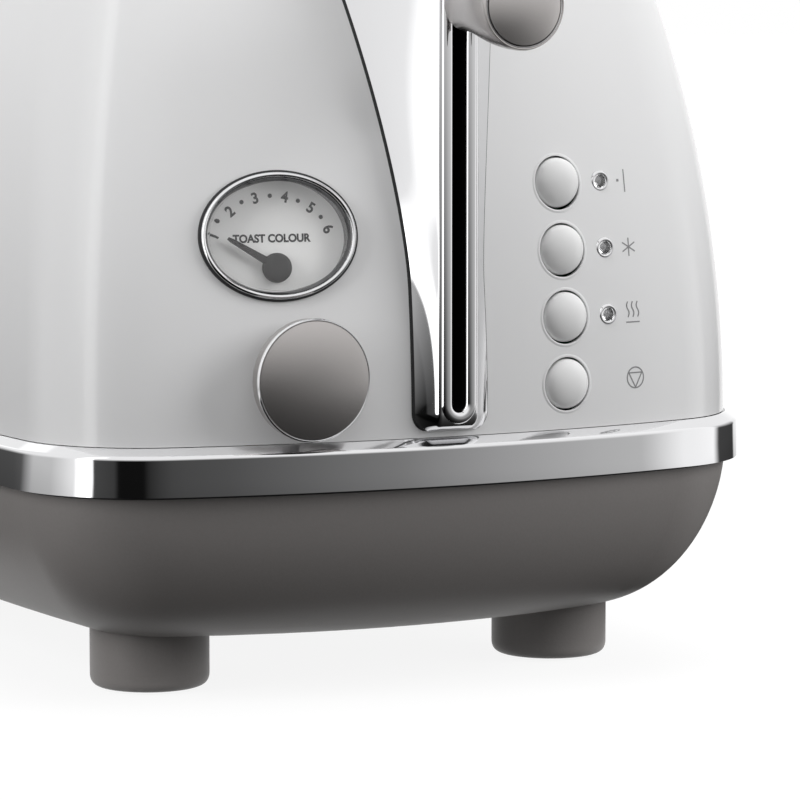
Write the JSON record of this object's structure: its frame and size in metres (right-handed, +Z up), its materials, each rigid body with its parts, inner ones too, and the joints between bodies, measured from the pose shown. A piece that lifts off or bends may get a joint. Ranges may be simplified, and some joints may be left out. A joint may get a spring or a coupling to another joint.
{
  "type": "pop up toaster",
  "caption": "Pop-up toaster with bowed enamel shell, chrome fin with lever slot, oval browning gauge, knob, push buttons, crumb tray and round feet.",
  "frame": {"origin": "on the surface it stands on, under the middle of the overall box (lever included)", "axes": "+Z up, -Y toward the lever and controls, +Y toward the cord outlet, +X to the right of someone facing the controls"},
  "size_m": [0.195, 0.3192, 0.2095],
  "materials": {
    "painted_shell": "gloss white stove enamel",
    "bright_chrome": "mirror polished",
    "satin_chrome": "satin",
    "grey_plastic": "satin warm grey, fine grain",
    "control_plastic": "satin warm grey",
    "white_plastic": "soft gloss white",
    "clear_lens": "clear",
    "dial_face": "matt off-white",
    "black_enamel": "matt black",
    "black_rubber": "matt",
    "plain_steel": "zinc plated",
    "bright_reflector": "bright rolled",
    "rack_wire": "drawn",
    "mica": "pressed mica board",
    "heating_alloy": "oxidised",
    "spring_steel": "oiled",
    "magnet_coil": "varnished copper winding",
    "gear_plastic": "natural acetal",
    "component_black": "moulded",
    "circuit_board": "solder mask",
    "lamp_light": "tinted epoxy"
  },
  "bodies": {
    "root": {"base_tray": "grey_plastic", "board_bracket": "gear_plastic", "body_shell": "painted_shell", "button_switches": "component_black", "control_board": "circuit_board", "cord_gland": "black_rubber", "electromagnet": "magnet_coil", "fin_housing": "bright_chrome", "foot_front_left": "grey_plastic", "foot_front_right": "grey_plastic", "foot_pads": "black_rubber", "foot_rear_left": "grey_plastic", "foot_rear_right": "grey_plastic", "foot_screws": "plain_steel", "front_end_plate": "plain_steel", "gauge_bezel": "bright_chrome", "gauge_dial": "dial_face", "gauge_lens": "clear_lens", "gear_bracket": "gear_plastic", "guide_rods": "plain_steel", "heater_card_centre": "mica", "heater_card_left": "mica", "heater_card_right": "mica", "heating_ribbons": "heating_alloy", "indicator_lights": "lamp_light", "lamp_lenses": "clear_lens", "lamp_rings": "bright_chrome", "lift_spring": "spring_steel", "potentiometer": "component_black", "rear_end_plate": "plain_steel", "reflector_left": "bright_reflector", "reflector_right": "bright_reflector", "slot_bezel": "satin_chrome", "top_cover": "bright_chrome", "trim_band": "bright_chrome"},
    "lever": {"lever_knob": "control_plastic", "lever_cap": "control_plastic", "lever_ring": "bright_chrome", "lever_arm": "plain_steel", "carriage": "plain_steel", "bread_rack_left": "rack_wire", "bread_rack_right": "rack_wire", "armature": "plain_steel"},
    "browning_knob": {"browning_knob": "control_plastic", "knob_ring": "bright_chrome", "knob_shaft": "plain_steel", "knob_gear": "gear_plastic"},
    "idler": {"idler_gear": "gear_plastic"},
    "pointer_gear": {"pointer_gear": "gear_plastic"},
    "needle": {"gauge_needle": "black_enamel"},
    "button_one_side": {"button_one_side": "white_plastic"},
    "button_defrost": {"button_defrost": "white_plastic"},
    "button_reheat": {"button_reheat": "white_plastic"},
    "button_cancel": {"button_cancel": "white_plastic"},
    "crumb_tray": {"crumb_tray": "plain_steel", "crumb_handle": "grey_plastic"},
    "bread_guard_left_inner": {"bread_guard_left_inner": "rack_wire"},
    "bread_guard_left_outer": {"bread_guard_left_outer": "rack_wire"},
    "bread_guard_right_inner": {"bread_guard_right_inner": "rack_wire"},
    "bread_guard_right_outer": {"bread_guard_right_outer": "rack_wire"}
  },
  "joints": [
    {"name": "lever_slide", "type": "slide", "parent": "root", "child": "lever", "axis": [0, 0, 1], "range_m": [-0.084, 0.008], "stiffness_N_per_m": 60, "springref_m": 0.03349, "deforming": ["lift_spring"]},
    {"name": "browning_turn", "type": "hinge", "parent": "root", "child": "browning_knob", "pos_m": [-0.0358, -0.1, 0.0767], "axis": [0, 1, 0], "range_deg": [0, 270]},
    {"name": "idler_turn", "type": "hinge", "parent": "root", "child": "idler", "pos_m": [-0.04298, -0.1, 0.08422], "axis": [0, 1, 0], "range_deg": [-235, 5]},
    {"name": "pointer_gear_turn", "type": "hinge", "parent": "root", "child": "pointer_gear", "pos_m": [-0.0383, -0.1, 0.09994], "axis": [0, 1, 0], "range_deg": [-2, 122]},
    {"name": "needle_turn", "type": "hinge", "parent": "root", "child": "needle", "pos_m": [-0.04026, -0.11681, 0.10188], "axis": [0.1504, 0.9773, -0.149], "range_deg": [-2, 122]},
    {"name": "button_one_side_press", "type": "slide", "parent": "root", "child": "button_one_side", "axis": [0, 1, 0], "range_m": [0, 0.0015], "stiffness_N_per_m": 300},
    {"name": "button_defrost_press", "type": "slide", "parent": "root", "child": "button_defrost", "axis": [0, 1, 0], "range_m": [0, 0.0015], "stiffness_N_per_m": 300},
    {"name": "button_reheat_press", "type": "slide", "parent": "root", "child": "button_reheat", "axis": [0, 1, 0], "range_m": [0, 0.0015], "stiffness_N_per_m": 300},
    {"name": "button_cancel_press", "type": "slide", "parent": "root", "child": "button_cancel", "axis": [0, 1, 0], "range_m": [0, 0.0015], "stiffness_N_per_m": 300},
    {"name": "crumb_tray_slide", "type": "slide", "parent": "root", "child": "crumb_tray", "axis": [0, 1, 0], "range_m": [0, 0.19]},
    {"name": "bread_guard_left_inner_slide", "type": "slide", "parent": "root", "child": "bread_guard_left_inner", "axis": [-1, 0, 0], "range_m": [-0.0006, 0.005]},
    {"name": "bread_guard_left_outer_slide", "type": "slide", "parent": "root", "child": "bread_guard_left_outer", "axis": [1, 0, 0], "range_m": [-0.0006, 0.005]},
    {"name": "bread_guard_right_inner_slide", "type": "slide", "parent": "root", "child": "bread_guard_right_inner", "axis": [1, 0, 0], "range_m": [-0.0006, 0.005]},
    {"name": "bread_guard_right_outer_slide", "type": "slide", "parent": "root", "child": "bread_guard_right_outer", "axis": [-1, 0, 0], "range_m": [-0.0006, 0.005]}
  ],
  "couplings": [
    {"joint": "idler_turn", "follows": "browning_turn", "ratio": -0.85714},
    {"joint": "pointer_gear_turn", "follows": "browning_turn", "ratio": 0.44444},
    {"joint": "needle_turn", "follows": "browning_turn", "ratio": 0.44444},
    {"joint": "bread_guard_left_inner_slide", "follows": "lever_slide", "ratio": -0.059524},
    {"joint": "bread_guard_left_outer_slide", "follows": "lever_slide", "ratio": -0.059524},
    {"joint": "bread_guard_right_inner_slide", "follows": "lever_slide", "ratio": -0.059524},
    {"joint": "bread_guard_right_outer_slide", "follows": "lever_slide", "ratio": -0.059524}
  ]
}
